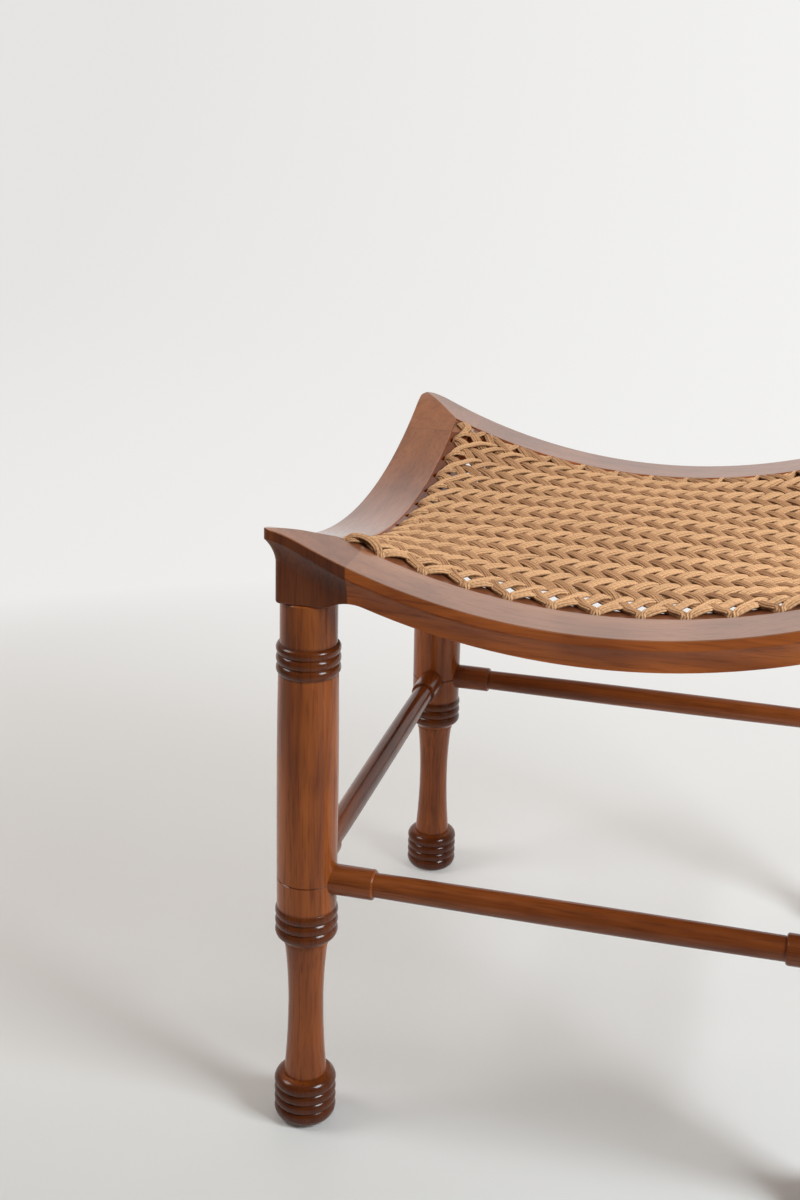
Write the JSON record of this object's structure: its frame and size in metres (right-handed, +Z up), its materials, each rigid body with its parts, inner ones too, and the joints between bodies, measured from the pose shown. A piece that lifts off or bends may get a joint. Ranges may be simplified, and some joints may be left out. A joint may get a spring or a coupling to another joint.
{
  "type": "woven seat stool",
  "caption": "Low square stool with turned wooden legs, slender stretchers, a dished seat frame with upswept corners and a laced woven cord seat.",
  "frame": {"origin": "on the floor, under the middle of the seat", "axes": "+Z up, X along the front rail, +Y from the front rail to the back rail"},
  "size_m": [0.39, 0.39, 0.4105],
  "materials": {
    "leg_wood": "polished",
    "corner_wood": "polished",
    "rail_wood": "polished",
    "stretcher_wood": "polished",
    "dowel_wood": "bare",
    "seat_cord": "natural twisted fibre"
  },
  "bodies": {
    "root": {"leg_front_left": "leg_wood", "leg_front_right": "leg_wood", "leg_back_right": "leg_wood", "leg_back_left": "leg_wood", "corner_block_front_left": "corner_wood", "corner_block_front_right": "corner_wood", "corner_block_back_right": "corner_wood", "corner_block_back_left": "corner_wood", "rail_front": "rail_wood", "rail_right": "rail_wood", "rail_back": "rail_wood", "rail_left": "rail_wood", "stretcher_front": "stretcher_wood", "stretcher_right": "stretcher_wood", "stretcher_back": "stretcher_wood", "stretcher_left": "stretcher_wood", "rail_dowels": "dowel_wood", "woven_seat": "seat_cord"}
  },
  "joints": []
}
